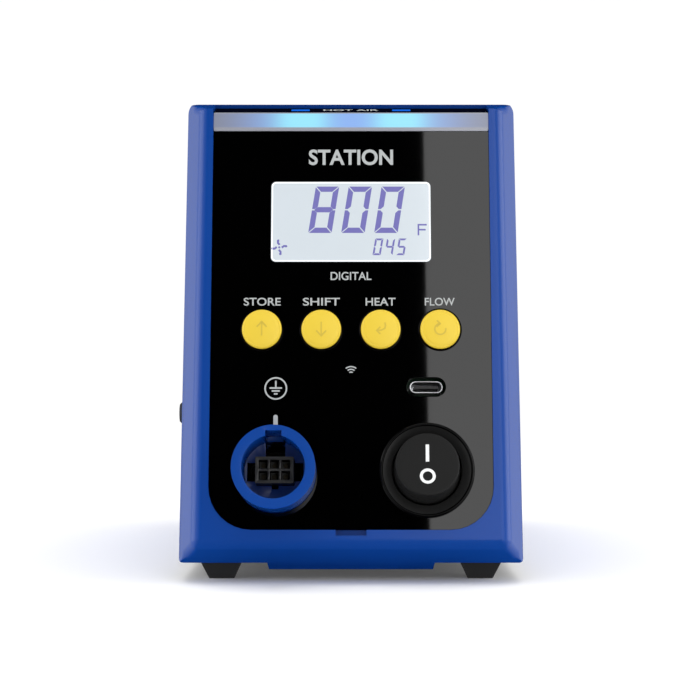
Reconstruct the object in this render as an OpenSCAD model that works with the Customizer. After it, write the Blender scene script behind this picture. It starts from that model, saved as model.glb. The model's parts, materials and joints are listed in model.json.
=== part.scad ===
// Hot air station: a leaning front with a display and keys, a hose socket, a power rocker and a blower inside.
// Millimetres. X to the right, -Y out of the front, +Z up. The origin is the middle of the footprint, on the table.

/* [Housing] */
// Width of the body at its base
body_w = 93.4; // [92:0.1:130]
// Width lost from base to top by the draft of the sides
body_draft = 1.1; // [0:0.1:3]
// Height of the body without its feet
body_h = 127.45; // [125:0.05:170]
// Depth of the body from the foremost edge to the back
body_d = 175; // [170:1:240]
// Lean of the front, back from upright, in degrees
lean = 10; // [6:1:12]
// Wall of the cover, the front frame and the tray
wall = 2.2; // [1.8:0.1:2.6]
// Radius of the two upper long edges
top_r = 2.8; // [1.5:0.1:5]
// Radius of the two lower long edges
base_r = 1.2; // [0.8:0.1:3]

/* [Front frame] */
// Depth of the sloping border around the front
bevel_d = 8.5; // [6:0.1:10]
// Width of the sloping border at the sides
bevel_side = 4.5; // [3:0.1:5]
// Height of the sloping border at top and bottom
bevel_end = 3.9; // [3:0.1:5]
// Width of the tab that hangs from the middle of the front's lower edge
tab_w = 46.2; // [30:0.1:50]
// How far that tab hangs down
tab_drop = 2.15; // [1:0.05:3]
// Straight band behind the sloping border
band_d = 4; // [3:0.5:8]
// Flat border beside the black panel
border = 3.7; // [3:0.1:5]
// Flat border below the black panel
border_low = 4.5; // [3.5:0.1:6]
// Corner radius at the foot of the black panel
panel_r = 11.5; // [4:0.5:14]
// Thickness of the black panel
panel_t = 2.4; // [1.6:0.1:3]
// How far the black panel sits below the border
panel_sink = 0.5; // [0.2:0.1:1]
// Width of the ledge that the panel rests on
ledge = 2.2; // [1.5:0.1:3]

/* [Light bar and top label] */
// Height of the light bar on the front
bar_h = 5.3; // [4:0.1:8]
// Border left above the light bar
bar_gap = 1.1; // [0.8:0.1:2]
// Distance between the two lights
light_pitch = 28.4; // [20:0.1:36]
// Width of a light window
window_w = 5.1; // [3:0.1:8]
// Thickness of the top label
label_t = 0.7; // [0.5:0.1:1]

/* [Display] */
// Width of the display window
lcd_w = 44.1; // [36:0.1:50]
// Height of the display window
lcd_h = 22.8; // [18:0.1:26]
// Height of the window's middle above the border's lower edge
lcd_up = 89.3; // [86:0.1:92]

/* [Keys] */
// Number of keys in the row
key_count = 4; // [3:1:4]
// Distance between neighbouring keys
key_pitch = 16.2; // [14.5:0.1:17]
// Diameter of a key
key_d = 10.9; // [8:0.1:11.8]
// Gap around a key in its hole
key_gap = 0.5; // [0.2:0.1:0.8]
// Height of the key row
key_up = 58.9; // [57:0.1:63]
// Travel of a key
key_travel = 0.8; // [0.4:0.1:0.8]

/* [Hose socket] */
// Sideways distance of the socket and the rocker from the middle
socket_x = 20.4; // [18:0.1:22]
// Height of the socket's middle above the border's lower edge
socket_up = 20; // [19:0.1:22]
// Outer radius of the collar
collar_r = 11.04; // [10:0.02:12.4]
// Bore radius of the collar
collar_bore_r = 8.36; // [8.2:0.02:9]
// How far the collar stands out
collar_out = 13; // [8:0.5:18]
// Width of the connector's body
plug_w = 10.2; // [9:0.05:11]
// Height of the connector's body
plug_h = 7.1; // [6:0.1:7.5]

/* [Rocker] */
// Height of the rocker's middle above the border's lower edge
rocker_up = 20.35; // [19:0.05:22]
// Radius of the rocker's round flange
flange_r = 12.85; // [12.4:0.05:13.2]
// Radius of the tilting button's round face
rocker_r = 8.6; // [7.4:0.1:8.8]
// How far the middle of the button stands out from its pivot
rocker_out = 7.6; // [6:0.1:8]
// Radius of the pivot pins
pivot_r = 1.2; // [0.8:0.1:1.6]
// Tilt of the button to either side of level, in degrees
rocker_tilt = 9; // [6:1:10]

/* [Feet] */
// Height of a foot
foot_h = 5.2; // [4:0.1:10]
// Width of a foot where it meets the tray
foot_w = 11.7; // [9:0.1:14]
// Width of a foot on the table
foot_low_w = 6.9; // [6.6:0.1:9]
// Distance of the feet's middles from the sides
foot_in = 11.1; // [9:0.1:16]

/* [Blower] */
// Radius of the impeller
impeller_r = 27; // [20:0.5:28]
// Width of the impeller
impeller_w = 17; // [12:0.5:17]
// Number of impeller blades
blade_count = 18; // [12:1:24]
// Depth of the blower housing
blower_d = 25; // [24.5:0.5:27]
// Radius of the motor
motor_r = 16; // [12:0.5:17]
// Length of the motor
motor_l = 30; // [20:1:30]

/* [Mains inlet] */
// Width of the inlet's flange
inlet_w = 50; // [48:1:52]
// Height of the inlet's flange
inlet_h = 34; // [33:1:40]
// Depth of the inlet's body inside the case
inlet_d = 24; // [22:1:26]
// Travel of the fuse drawer
drawer_travel = 18; // [8:1:19]

/* [Fits] */
// Gap between fixed pieces that sit in one another
fit_gap = 0.1; // [0.05:0.05:0.2]
// Radial clearance of pins and shafts that turn
run_gap = 0.06; // [0.02:0.01:0.1]
// Gap between moving pieces and their surroundings
free_gap = 0.3; // [0.2:0.05:0.4]

/* [Hidden] */
$fn = 96;

// Slant frame: its origin is the foremost lower edge of the flat front, Y runs up the front, Z points out of it.
slant = body_h / cos(lean);
face_len = slant - 2 * bevel_end;
face_z = foot_h + bevel_end * cos(lean) + bevel_d * sin(lean);
inlet_flange_t = 2;
drawer_lip = 0.5;
back_reach = inlet_flange_t + drawer_lip;
collar_reach = collar_out * cos(lean) - (socket_up - collar_r) * sin(lean);
face_y = (collar_reach - body_d - back_reach) / 2;
back_y = face_y + body_d;
frame_back = bevel_d + band_d;
tongue_l = 3;
top_w = body_w - body_draft;
top_z = foot_h + body_h;
slope_angle = atan2(bevel_d, bevel_end);
slope_len = norm([bevel_d, bevel_end]);
big = 400;
eps = 0.01;

// The panel, the light bar and the ledge behind them.
panel_w = body_w - body_draft / 2 - 2 * (bevel_side + border);
bar_top = face_len - bar_gap;
bar_low = bar_top - bar_h;
panel_top = bar_low - fit_gap;
panel_len = panel_top - border_low;
panel_front = -panel_sink;
panel_back = panel_front - panel_t;
ledge_t = 2;
cavity_top = bar_top - 1.2;

// The display board and what stands on it.
board_front = -10.4;
board_t = 1.6;
board_w = 68;
board_low = 37;
board_high = cavity_top - 0.6;
post_x = 31;
post_ups = [40.5, 106.5];
post_r = 2.6;
switch_h = 3.1;
stem_end = -6;

// The hose socket's axis, from the slant frame into the case.
duct_r = collar_bore_r + 2;
duct_wall = 1.8;
spigot_start = -14;
bend_start = -22;
bend_r = 60;
bend_y = face_y + socket_up * sin(lean) - bend_start * cos(lean);
bend_z = face_z + socket_up * cos(lean) + bend_start * sin(lean);
outlet_y = bend_y + bend_r * sin(lean);
outlet_z = bend_z - bend_r * (1 - cos(lean));

// The blower: its axis runs along X, and its outlet lines up with the socket.
volute_r = impeller_r + 4;
shell_t = 2.2;
blower_x = -socket_x - 13.6;
blower_y = outlet_y + 66;
blower_z = outlet_z + volute_r - collar_bore_r;
blower_back = blower_x + blower_d;
intake_r = 13;
shaft_r = 1.5;

// The main board lies on posts of the tray.
pcb_x = -5;
pcb_w = 45;
pcb_y = blower_y - 62;
pcb_l = 100;
pcb_z = foot_h + wall + 6;
pcb_t = 1.6;
pcb_top = pcb_z + pcb_t;
pcb_post_r = 3;
pcb_hole_in = 4;
under_motor = blower_z - motor_r - 0.8 - pcb_top;

// The inlet at the back.
inlet_x = 16;
inlet_z = foot_h + 34;
inlet_body_w = 28.4;
inlet_body_h = 30.2;
cavity_w = 24.2;
cavity_h = 16.6;
cavity_d = 17;
cavity_up = 5.2;
slot_w = 24.6;
slot_h = 7.6;
slot_d = 22;
slot_up = -9.2;
ear_pitch = 40;
fuse_r = 2.6;
fuse_l = 20;

back_t = 2.5;
back_sink = 0.5;
filter_z = 95;
filter_w = 64;
filter_h = 40;
plate_z = 38;

function arc(x, y, r, a0, a1, n = 8) =
    [for (i = [0:n]) let (a = a0 + (a1 - a0) * i / n) [x + r * cos(a), y + r * sin(a)]];
// A symmetric outline standing on y = 0: half width w0 below and w1 above, height h, corner radii r0 and r1.
function outline(w0, w1, h, r0, r1) = concat(arc(w0 - r0, r0, r0, -90, 0), arc(w1 - r1, h - r1, r1, 0, 90),
    arc(r1 - w1, h - r1, r1, 90, 180), arc(r0 - w0, r0, r0, 180, 270));
function body_outline(inset) = outline(body_w / 2 - inset, top_w / 2 - inset, body_h - 2 * inset,
    max(base_r - inset, 0.5), max(top_r - inset, 0.5));
function key_x(i) = (i - (key_count - 1) / 2) * key_pitch;

module on_face(x = 0, up = 0, out = 0) {
    translate([0, face_y, face_z]) rotate([90 - lean, 0, 0]) translate([x, up, out]) children();
}
module on_slope() {
    on_face(0, bar_top, 0) rotate([-slope_angle, 0, 0]) children();
}
module slab(from, to) {
    translate([0, 0, from]) linear_extrude(to - from) children();
}
module box(x0, x1, y0, y1, z0, z1) {
    translate([x0, y0, z0]) cube([x1 - x0, y1 - y0, z1 - z0]);
}
module along_x(x0, x1, r) {
    translate([x0, 0, 0]) rotate([0, 90, 0]) cylinder(r = r, h = x1 - x0);
}
module along_y(y0, y1, r) {
    translate([0, y1, 0]) rotate([90, 0, 0]) cylinder(r = r, h = y1 - y0);
}
module block(w, h, r) {
    polygon(outline(w / 2, w / 2, h, r, r));
}
module middle_block(w, h, r) {
    translate([0, -h / 2]) block(w, h, r);
}
module stadium(w, h) {
    middle_block(w, h, h / 2 - 0.01);
}
module body_prism(inset, y0, y1) {
    translate([0, y1, foot_h + inset]) rotate([90, 0, 0]) linear_extrude(y1 - y0) polygon(body_outline(inset));
}
module behind_face(out) {
    on_face(0, 0, out) translate([-big / 2, -big / 2, -big]) cube(big);
}
// A pan-head screw: its head sits on z = 0 and points up, its shank goes down.
module screw(head_r, head_h, shank_r, length) {
    difference() {
        union() {
            cylinder(r = head_r, h = head_h * 0.55);
            translate([0, 0, head_h * 0.55]) cylinder(r1 = head_r, r2 = head_r * 0.72, h = head_h * 0.45);
            translate([0, 0, -length]) cylinder(r = shank_r, h = length + eps);
        }
        for (a = [0, 90]) rotate([0, 0, a])
            translate([-head_r * 0.6, -head_r * 0.11, head_h * 0.4]) cube([head_r * 1.2, head_r * 0.22, head_h]);
    }
}

// ---- Front ----
module pocket(grow, low, high, r) {
    translate([0, low]) polygon(outline(panel_w / 2 + grow, panel_w / 2 + grow, high - low, r, 0.3));
}
draft_angle = atan2(body_draft / 2, slant);
module beyond(angle) {
    rotate(angle) translate([-big / 2, -big / 2, 0]) cube(big);
}
module front_tab() {
    translate([0, back_y, foot_h]) rotate([90, 0, 0]) linear_extrude(body_d)
        polygon([[-tab_w / 2, wall], [-tab_w / 2 + 0.7, -tab_drop], [tab_w / 2 - 0.7, -tab_drop], [tab_w / 2, wall]]);
}
module front_frame() color("#1546a0") difference() {
    union() {
        intersection() {
            union() {
                body_prism(0, face_y - 20, back_y);
                front_tab();
            }
            behind_face(0);
            on_face(0, 0, -frame_back) translate([-big / 2, -big / 2, 0]) cube(big);
        }
        // The tongue that the cover and the tray slide over.
        intersection() {
            body_prism(wall + fit_gap, face_y, back_y);
            behind_face(1 - frame_back);
            on_face(0, 0, -frame_back - tongue_l) translate([-big / 2, -big / 2, 0]) cube(big);
        }
    }
    // The sloping border on all four sides.
    on_face(0, face_len) beyond([-slope_angle, 0, 0]);
    on_face() beyond([slope_angle, 0, 0]);
    for (side = [0, 1]) mirror([side, 0, 0]) on_face(body_w / 2 - bevel_side, -bevel_end)
        rotate([0, 0, draft_angle]) beyond([0, atan2(bevel_d, bevel_side), 0]);
    on_face() slab(panel_back, 1) pocket(fit_gap, border_low - fit_gap, face_len + 9, panel_r + fit_gap);
    on_face() slab(-big, 1) pocket(-ledge, border_low + ledge, cavity_top, panel_r - ledge);
    intersection() {
        body_prism(wall + 1.4, face_y, back_y);
        behind_face(panel_back - ledge_t);
        on_face(0, 0, -big) translate([-big / 2, -big, 0]) cube([big, big + cavity_top, big]);
    }
    intersection() {
        body_prism(wall + 1.4, face_y, back_y);
        behind_face(-frame_back + 1.6);
    }
    on_slope() translate([-panel_w / 2 - 2 * fit_gap, 0, -label_t])
        cube([panel_w + 4 * fit_gap, slope_len - fit_gap, big]);
    // The finger notch for lifting the panel out.
    on_face(0, border_low - 1.6, -1.8) translate([-4.13, 0, 0]) cube([8.26, 2, 3]);
}
module front_panel() color("#0b0b0c") difference() {
    union() {
        on_face() slab(panel_back, panel_front) pocket(0, border_low, panel_top, panel_r);
        for (x = [-post_x, post_x], up = post_ups) on_face(x, up) slab(board_front, panel_back + eps) circle(post_r);
    }
    on_face(0, lcd_up) slab(panel_back - 1, 1) middle_block(lcd_w, lcd_h, 1.3);
    for (i = [0:key_count - 1]) on_face(key_x(i), key_up) slab(panel_back - 1, 1) circle(key_d / 2 + key_gap);
    on_face(socket_x, usb_up) slab(panel_back - 1, 1) stadium(10.8, 5.4);
    on_face(-socket_x, socket_up) slab(panel_back - 1, 1) circle(collar_r + fit_gap);
    on_face(socket_x, rocker_up) slab(panel_back - 1, 1) circle(rocker_body_r + fit_gap);
    for (x = [-post_x, post_x], up = post_ups) on_face(x, up) slab(board_front - 1, panel_back - 1) circle(1.1);
}
module light_bar() color("#b4b8c2") on_face() {
    slab(-1, -0.3) translate([0, bar_low]) block(panel_w, bar_h, 0.3);
    slab(panel_back, -1) translate([0, bar_low]) block(panel_w, bar_h - 0.5, 0.3);
    slab(panel_back - 2.6, panel_back) translate([0, bar_low + 0.4])
        block(panel_w - 2 * ledge - 1, cavity_top - bar_low - 0.9, 0.3);
}
module label_plate(w, y0, y1, z0, z1) {
    on_slope() translate([-w / 2, y0, z0]) cube([w, y1 - y0, z1 - z0]);
}
module light_opening(side, gap) {
    on_slope() translate([side * light_pitch / 2 - window_w / 2 - gap, 3.2 - gap, -label_t - 1])
        cube([window_w + 2 * gap, 3.4 + 2 * gap, 3]);
}
module top_label() color("#101114") difference() {
    label_plate(panel_w, 1.15, slope_len - 2 * fit_gap, -label_t, 0);
    for (side = [-1, 1]) light_opening(side, 0.05);
}
module light_windows() color("#1870dc") intersection() {
    for (side = [-1, 1]) light_opening(side, 0);
    label_plate(panel_w, 1.15, slope_len, -label_t, 0);
}

// ---- Case ----
tray_top = foot_h + wall;
front_cut = -frame_back - fit_gap;
module cover() color("#1546a0") difference() {
    intersection() {
        body_prism(0, face_y, back_y);
        behind_face(front_cut);
        box(-big, big, -big, big, tray_top + fit_gap, big);
    }
    difference() {
        body_prism(wall, face_y, back_y + 1);
        for (side = [0, 1]) mirror([side, 0, 0]) box(back_screw_x - 3.4, big, back_y - 14,
            back_y - back_sink - back_t - fit_gap, back_screw_top - 3.4, big);
    }
    for (side = [-1, 1]) translate([side * back_screw_x, 0, back_screw_top]) along_y(back_y - 13, back_y, 1.55);
    for (y = holder_ys) translate([0, y, holder_z]) along_x(-body_w / 2 - 1, -body_w / 2 + wall + 2, 2.05);
    // Air slots in the right side.
    for (i = [0:7]) box(body_w / 2 - wall - 2, body_w / 2 + 1, back_y - 78 + 8 * i, back_y - 75.4 + 8 * i, 52, 78);
}
back_screw_x = body_w / 2 - 7.6;
back_screw_top = top_z - 8;
back_screw_low = foot_h + 7.2;
holder_z = 44.9;
holder_ys = [face_y + 33.2, face_y + 63.2];
tray_y = face_y + frame_back * cos(lean) - (face_z - foot_h - frame_back * sin(lean)) * tan(lean) + 0.6;
foot_x = body_w / 2 - foot_in;
foot_ys = [tray_y + foot_w / 2 + 0.4, back_y - 14];
pcb_holes = [for (x = [pcb_x + pcb_hole_in, pcb_x + pcb_w - pcb_hole_in],
    y = [pcb_y + pcb_hole_in, pcb_y + pcb_l - pcb_hole_in]) [x, y]];
module tray() color("#17181a") difference() {
    union() {
        intersection() {
            body_prism(0, face_y, back_y);
            behind_face(front_cut);
            box(-big, big, -big, big, 0, tray_top);
        }
        for (side = [-1, 1]) intersection() {
            translate([side * (body_w / 2 - wall - 1.2), 0, 0])
                box(-0.7, 0.7, tray_y + 6, back_y - 4, tray_top - eps, tray_top + 9);
            behind_face(-frame_back - 4);
        }
        for (p = pcb_holes) translate([p[0], p[1], tray_top - eps]) cylinder(r = pcb_post_r, h = pcb_z - tray_top + eps);
        for (side = [-1, 1]) translate([side * back_screw_x, 0, 0])
            box(-4, 4, back_y - 14, back_y - back_sink - back_t - fit_gap, tray_top - eps, tray_top + 9.4);
        intersection() {
            for (side = [-1, 1], y = foot_ys) translate([side * foot_x, y, tray_top - eps]) cylinder(r = 3.2, h = 4);
            behind_face(-frame_back - tongue_l - 2 * fit_gap);
        }
    }
    for (side = [-1, 1], y = foot_ys) translate([side * foot_x, y, foot_h - 1]) cylinder(r = 1.55, h = 12);
    for (side = [-1, 1]) translate([side * back_screw_x, 0, back_screw_low + wall]) along_y(back_y - 13, back_y, 1.55);
    for (p = pcb_holes) translate([p[0], p[1], foot_h + 1]) cylinder(r = 1.3, h = 12);
    for (i = [0:8]) box(-body_w / 2 + 12, -body_w / 2 + 34, blower_y - 32 + 8 * i, blower_y - 29.4 + 8 * i, 0, tray_top + 1);
}
module back_panel() color("#17181a") difference() {
    intersection() {
        body_prism(wall + fit_gap, back_y - back_sink - back_t, back_y - back_sink);
        box(-big, big, -big, big, tray_top + fit_gap, big);
    }
    for (side = [-1, 1], z = [back_screw_top, back_screw_low + wall]) translate([side * back_screw_x, 0, z])
        along_y(back_y - 5, back_y + 1, 1.6);
    box(inlet_x - inlet_body_w / 2 - fit_gap, inlet_x + inlet_body_w / 2 + fit_gap, back_y - 5, back_y + 1,
        inlet_z - inlet_body_h / 2 - fit_gap, inlet_z + inlet_body_h / 2 + fit_gap);
    for (side = [-1, 1]) translate([inlet_x + side * ear_pitch / 2, 0, inlet_z]) along_y(back_y - 5, back_y + 1, 1.6);
    for (i = [0:6]) box(-filter_w / 2 + 3, filter_w / 2 - 3, back_y - 5, back_y + 1, filter_z - 16 + 5 * i, filter_z - 13.6 + 5 * i);
}
module foot() {
    difference() {
        intersection() {
            rotate([90, 0, 0]) translate([0, 0, -foot_w]) linear_extrude(2 * foot_w) foot_side();
            rotate([90, 0, 90]) translate([0, 0, -foot_w]) linear_extrude(2 * foot_w) foot_side();
        }
        translate([0, 0, -1]) cylinder(r = 1.6, h = foot_h + 2);
        translate([0, 0, -1]) cylinder(r = 2.8, h = 3.2);
    }
}
module foot_side() {
    polygon([[-foot_low_w / 2, 0], [foot_low_w / 2, 0], [foot_w / 2, foot_h], [-foot_w / 2, foot_h]]);
}
module feet() color("#1d1d1e") for (side = [-1, 1], y = foot_ys) translate([side * foot_x, y, 0]) foot();
module foot_screws() color("silver") for (side = [-1, 1], y = foot_ys)
    translate([side * foot_x, y, 2.2]) mirror([0, 0, 1]) screw(2.7, 1.6, 1.5, foot_h + 3);
module back_screws() color("silver") for (side = [-1, 1], z = [back_screw_top, back_screw_low + wall])
    translate([side * back_screw_x, back_y - back_sink, z]) rotate([-90, 0, 0]) screw(2.8, 1.8, 1.5, 12);
module holder_screws() color("silver") for (y = holder_ys)
    translate([(holder_z - foot_h) * body_draft / 2 / body_h - body_w / 2 - 2 * eps, y, holder_z])
        rotate([0, -90, 0]) screw(3.5, 2.3, 2, wall + 2);
module rating_plate() color("#c8ccd2") translate([-40, back_y - back_sink, plate_z - 12]) cube([26, 0.4, 24]);

// ---- Display and keys ----
usb_up = 43.1;
module display_window() color("#dfe6ee") on_face(0, lcd_up) slab(panel_back, panel_front - 0.1)
    middle_block(lcd_w - 2 * fit_gap, lcd_h - 2 * fit_gap, 1.25);
module display_frame() color("#f2f2ee") on_face(0, lcd_up) slab(board_front, panel_back - fit_gap) difference() {
    middle_block(lcd_w + 6, lcd_h + 6, 1);
    middle_block(lcd_w + 3, lcd_h + 3, 0.5);
}
module display_glass() color("#dce6ee") on_face(0, lcd_up) slab(panel_back - 2, panel_back - 0.2)
    middle_block(lcd_w + 2.8, lcd_h + 2.8, 0.4);
module display_backlight() color("#f4f6fa") on_face(0, lcd_up) slab(board_front + 0.2, panel_back - 2.1)
    middle_block(lcd_w + 2.8, lcd_h + 2.8, 0.4);
module display_board() color("#1c6b3c") difference() {
    on_face() slab(board_front - board_t, board_front) translate([0, board_low]) block(board_w, board_high - board_low, 1);
    for (x = [-post_x, post_x], up = post_ups) on_face(x, up) slab(-20, 0) circle(1.3);
}
module display_screws() color("silver") for (x = [-post_x, post_x], up = post_ups)
    on_face(x, up, board_front - board_t) mirror([0, 0, 1]) screw(2.4, 1.5, 1.05, 5);
module key_switches() color("#2a2a2c") for (i = [0:key_count - 1]) on_face(key_x(i), key_up) {
    slab(board_front, board_front + switch_h) square(6, center = true);
    slab(board_front + switch_h - eps, stem_end - key_travel - 0.1) circle(1.7);
}
module status_lights() color("#9fd8ff") for (side = [-1, 1]) on_face(side * light_pitch / 2, bar_low + 1.9) {
    slab(board_front, panel_back - 4.2) circle(1.6);
    slab(board_front, board_front + 1) circle(1.8);
}
module remote_eye() color("#15151a") on_face(0, 47.7) {
    slab(board_front, board_front + 2.8) square([4.4, 4], center = true);
    slab(board_front + 2.8 - eps, board_front + 4.4) circle(1.5);
}
module key(i) color("#e6c84b") {
    key_top = 0.9;
    on_face(key_x(i), key_up) {
        intersection() {
            slab(panel_back - 0.2, key_top + 1) circle(key_d / 2);
            translate([0, 0, key_top - 36]) sphere(36.3);
        }
        slab(panel_back - 1.1, panel_back - 0.1) circle(key_d / 2 + key_gap + 0.9);
        slab(stem_end, panel_back - 1) circle(2.2);
    }
}
module key_1() key(0);
module key_2() key(1);
module key_3() key(2);
module key_4() key(3);
module usb_shell() color("#c8ccd0") on_face(socket_x, usb_up) difference() {
    slab(board_front, panel_front - 0.5) stadium(8.94, 3.26);
    slab(board_front + 2, 1) stadium(8.34, 2.66);
}
module usb_tongue() color("#1a1a1a") on_face(socket_x, usb_up) slab(board_front + 2, panel_front - 1.2)
    square([6.69, 0.7], center = true);

// ---- Hose socket ----
// The collar starts just in front of the border; behind it a slightly thinner neck goes through the panel.
collar_start = 0.3;
web_front = -1.5;
web_t = 2.5;
plug_front = collar_out - 8.3;
plug_back = -8;
module hose_socket() color("#1546a0") on_face(-socket_x, socket_up) difference() {
    union() {
        slab(collar_start, collar_out) circle(collar_r);
        slab(panel_back - fit_gap, collar_start + eps) circle(collar_r - 0.5);
        slab(panel_back - fit_gap - 2, panel_back - fit_gap) circle(collar_r + 1.6);
        slab(bend_start, panel_back - 2) circle(duct_r - run_gap);
    }
    slab(web_front, collar_out + 1) circle(collar_bore_r);
    slab(bend_start - 1, web_front - web_t) circle(collar_bore_r);
    slab(web_front, collar_out + 1) translate([-2.15, collar_bore_r - 1]) square([4.3, 2.2]);
    // The web that holds the connector: its hole, and the air ways around it.
    slab(-10, 1) middle_block(plug_w + 2 * fit_gap, plug_h + 2 * fit_gap, 0.2);
    slab(-10, 1) translate([-2.65, plug_h / 2 - 1]) square([5.3, 5.7]);
    for (side = [-1, 1]) slab(-10, 1) translate([side * 6.1, 0]) square([3, 5], center = true);
    slab(-10, 1) translate([-0.9, -plug_h / 2 - 1.1]) square([1.8, 2]);
}
cell = 3;
module cells() {
    for (i = [-1:1], j = [-0.5, 0.5]) translate([i * cell, j * cell]) children();
}
module socket_plug() color("#141416") on_face(-socket_x, socket_up) difference() {
    slab(plug_back, plug_front) middle_block(plug_w, plug_h, 0.2);
    slab(plug_front - 6, plug_front + 1) cells() middle_block(2.4, 2.4, 0.2);
    slab(plug_back - 1, plug_front - 5) cells() circle(0.75);
}
module socket_pins() color("#c9a24a") on_face(-socket_x, socket_up) slab(plug_back - 2, plug_front - 4.6) cells() circle(0.7);

// ---- Rocker ----
rocker_ball_r = rocker_r + 0.6;
rocker_body_r = rocker_ball_r + 2.1;
pivot_out = -2.5;
well_r = rocker_ball_r + 0.25;
housing_back = -20;
flange_out = 1.5;
dish_low = 0.2;
module rocker_housing() color("#111113") on_face(socket_x, rocker_up) difference() {
    union() {
        slab(panel_front, flange_out - 0.4) circle(flange_r);
        translate([0, 0, flange_out - 0.4]) cylinder(r1 = flange_r, r2 = flange_r - 0.4, h = 0.4);
        slab(housing_back, panel_front + eps) circle(rocker_body_r);
    }
    slab(pivot_out - rocker_ball_r - free_gap, 3) circle(well_r);
    translate([0, 0, dish_low]) cylinder(r1 = well_r, r2 = flange_r - 0.8, h = flange_out - dish_low + eps);
    translate([0, 0, pivot_out]) along_x(-pin_reach - fit_gap, pin_reach + fit_gap, pivot_r + run_gap);
}
pin_reach = rocker_ball_r + 1.4;
face_hollow_r = 45;
// The button is drawn with its upper half pressed in: part of a ball around the pivot, and a round face above it.
module rocker_button() color("#1a1a1c") on_face(socket_x, rocker_up, pivot_out) {
    rotate([-rocker_tilt, 0, 0]) difference() {
        union() {
            intersection() {
                sphere(rocker_ball_r);
                slab(-4, 3) square(big, center = true);
            }
            slab(0, rocker_out) circle(rocker_r);
        }
        translate([0, 0, rocker_out - 0.8 + face_hollow_r]) along_x(-rocker_r - 1, rocker_r + 1, face_hollow_r);
    }
    along_x(-pin_reach, pin_reach, pivot_r);
}
module rocker_tabs() color("#c9ccd0") on_face(socket_x, rocker_up) for (x = [-4.5, 4.5], up = [-4, 4])
    translate([x, up, housing_back - 8]) translate([-0.4, -2.4, 0]) cube([0.8, 4.8, 8]);

// ---- Air path ----
// The duct is one hollow tube: rings of points along its path, out along the outer wall and back along the bore.
duct_sides = 40;
duct_path = concat([[spigot_start, 0]], [for (i = [0:4]) [bend_start, lean * i / 4]], [[bend_start, lean, 8]]);
function duct_point(stop, r, turn) = let (
    a = lean - stop[1],
    along = [0, cos(a), -sin(a)],
    arm = [0, sin(a), cos(a)],
    centre = [0, outlet_y, outlet_z + bend_r] - bend_r * arm + (stop[0] - bend_start) * [0, -cos(lean), sin(lean)]
        + (len(stop) == 3 ? stop[2] : 0) * along
) [-socket_x, 0, 0] + centre + r * (cos(turn) * [1, 0, 0] + sin(turn) * arm);
module air_duct() color("#2b2c2e") {
    stops = len(duct_path);
    rings = 2 * stops;
    points = [for (k = [0:rings - 1], j = [0:duct_sides - 1]) k < stops
        ? duct_point(duct_path[k], duct_r + duct_wall, 360 * j / duct_sides)
        : duct_point(duct_path[rings - 1 - k], duct_r, 360 * j / duct_sides)];
    polyhedron(points, [for (k = [0:rings - 1], j = [0:duct_sides - 1]) let (
        up = (k + 1) % rings * duct_sides, here = k * duct_sides, next = (j + 1) % duct_sides
    ) each [[here + j, here + next, up + next], [here + j, up + next, up + j]]]);
}
module clip_ring() {
    difference() {
        circle(duct_r + duct_wall + 0.8);
        circle(duct_r + duct_wall);
    }
    translate([0, duct_r + duct_wall + 2]) square([6, 3], center = true);
}
module duct_clips() color("#c9ccd0") {
    on_face(-socket_x, socket_up) slab(-19.5, -15.5) clip_ring();
    translate([-socket_x, outlet_y, outlet_z]) rotate([-90, 0, 0]) rotate([0, 0, 180]) slab(2, 6) clip_ring();
}
leg_ys = [-18, 18];
damper_h = 4;
leg_w = 10;
module blower_housing() color("#222326") difference() {
    union() {
        translate([0, blower_y, blower_z]) along_x(blower_x, blower_back, volute_r + shell_t);
        translate([-socket_x, 0, outlet_z]) along_y(outlet_y, blower_y, duct_r - run_gap);
        for (dy = leg_ys) box(blower_x + 4, blower_back - 4, blower_y + dy - leg_w / 2, blower_y + dy + leg_w / 2,
            tray_top + damper_h, blower_z - volute_r + 6);
    }
    translate([0, blower_y, blower_z]) along_x(blower_x - 1, blower_back - shell_t, volute_r);
    translate([-socket_x, 0, outlet_z]) along_y(outlet_y - 1, blower_y, collar_bore_r);
    translate([0, blower_y, blower_z]) along_x(blower_x - 1, blower_back + 1, shaft_r + 2);
}
module blower_cover() color("#222326") translate([0, blower_y, blower_z]) difference() {
    union() {
        along_x(blower_x - 2, blower_x, volute_r + shell_t);
        along_x(blower_x - 4, blower_x - 2 + eps, intake_r + 2);
    }
    along_x(blower_x - 5, blower_x + 1, intake_r);
}
module blower_dampers() color("#3a3a3c") for (dy = leg_ys, x = [blower_x + 8, blower_back - 8])
    translate([x, blower_y + dy, tray_top]) cylinder(r = 3.4, h = damper_h);
impeller_x = blower_x + 2.5;
module impeller() color("#d9dadc") translate([0, blower_y, blower_z]) {
    difference() {
        union() {
            along_x(impeller_x + impeller_w - 1.5, impeller_x + impeller_w, impeller_r);
            along_x(impeller_x + 4, impeller_x + impeller_w, 6);
        }
        along_x(impeller_x - 1, impeller_x + impeller_w + 1, shaft_r);
    }
    difference() {
        along_x(impeller_x, impeller_x + 1.2, impeller_r);
        along_x(impeller_x - 1, impeller_x + 2, impeller_r - 5);
    }
    for (i = [0:blade_count - 1]) rotate([360 / blade_count * i, 0, 0]) translate([impeller_x + 1.2 - eps, 0, impeller_r - 3.5])
        rotate([30, 0, 0]) translate([0, -0.5, -3.5]) cube([impeller_w - 2.7 + 2 * eps, 1, 6]);
}
module motor() color("#8f9296") translate([0, blower_y, blower_z]) difference() {
    union() {
        along_x(blower_back, blower_back + motor_l, motor_r);
        along_x(blower_back + motor_l, blower_back + motor_l + 3, 5);
    }
    along_x(blower_back - 1, blower_back + motor_l + 4, shaft_r + run_gap);
}
module motor_shaft() color("silver") translate([0, blower_y, blower_z])
    along_x(impeller_x + 2, blower_back + motor_l + 5, shaft_r);

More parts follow.
